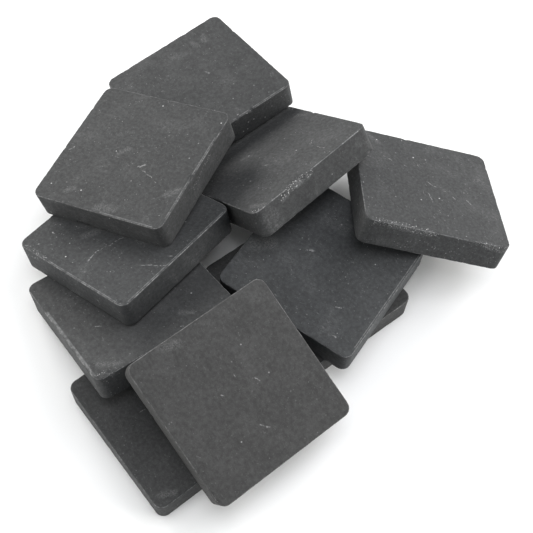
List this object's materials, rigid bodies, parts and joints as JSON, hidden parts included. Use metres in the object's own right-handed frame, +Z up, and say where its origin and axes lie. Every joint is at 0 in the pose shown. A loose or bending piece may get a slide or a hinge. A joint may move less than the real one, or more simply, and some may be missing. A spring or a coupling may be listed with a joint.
{
  "type": "pressed charcoal block heap",
  "caption": "Loose heap of flat square pressed charcoal blocks with rounded corners and worn edges; every block is loose and lifts or slides out of the heap.",
  "frame": {"origin": "middle of the heap's footprint, on the surface it lies on", "axes": "+Z up; -Y towards the front, the side with the leaning front block; +X to the right"},
  "size_m": [0.1584, 0.1864, 0.0394],
  "materials": {
    "charcoal": "matt pressed charcoal, dark grey, with pale dusty marks and worn edges"
  },
  "bodies": {
    "base_block": {"base_block": "charcoal"},
    "front_base_block": {"front_base_block": "charcoal"},
    "lower_left_block": {"lower_left_block": "charcoal"},
    "centre_block": {"centre_block": "charcoal"},
    "right_block": {"right_block": "charcoal"},
    "propped_block": {"propped_block": "charcoal"},
    "back_block": {"back_block": "charcoal"},
    "upper_left_block": {"upper_left_block": "charcoal"},
    "top_block": {"top_block": "charcoal"},
    "front_leaning_block": {"front_leaning_block": "charcoal"}
  },
  "joints": [
    {"name": "centre_block_lift", "type": "slide", "parent": "base_block", "child": "centre_block", "axis": [0, 0, 1], "range_m": [0, 0.04]},
    {"name": "right_block_draw_out", "type": "slide", "parent": "centre_block", "child": "right_block", "axis": [0.7036, -0.7036, 0.0997], "range_m": [0, 0.06]},
    {"name": "front_leaning_block_lift", "type": "slide", "parent": "centre_block", "child": "front_leaning_block", "axis": [0, 0, 1], "range_m": [0, 0.04]},
    {"name": "propped_block_lift", "type": "slide", "parent": "centre_block", "child": "propped_block", "axis": [0, 0, 1], "range_m": [0, 0.04]},
    {"name": "back_block_lift", "type": "slide", "parent": "propped_block", "child": "back_block", "axis": [0, 0, 1], "range_m": [0, 0.04]},
    {"name": "upper_left_block_lift", "type": "slide", "parent": "back_block", "child": "upper_left_block", "axis": [0, 0, 1], "range_m": [0, 0.04]},
    {"name": "top_block_lift", "type": "slide", "parent": "upper_left_block", "child": "top_block", "axis": [0, 0, 1], "range_m": [0, 0.04]},
    {"name": "lower_left_block_draw_out", "type": "slide", "parent": "base_block", "child": "lower_left_block", "axis": [-0.777, -0.6292, 0.016], "range_m": [0, 0.05]},
    {"name": "front_base_block_draw_out", "type": "slide", "parent": "base_block", "child": "front_base_block", "axis": [-0.7547, -0.6561, 0], "range_m": [0, 0.06]}
  ]
}
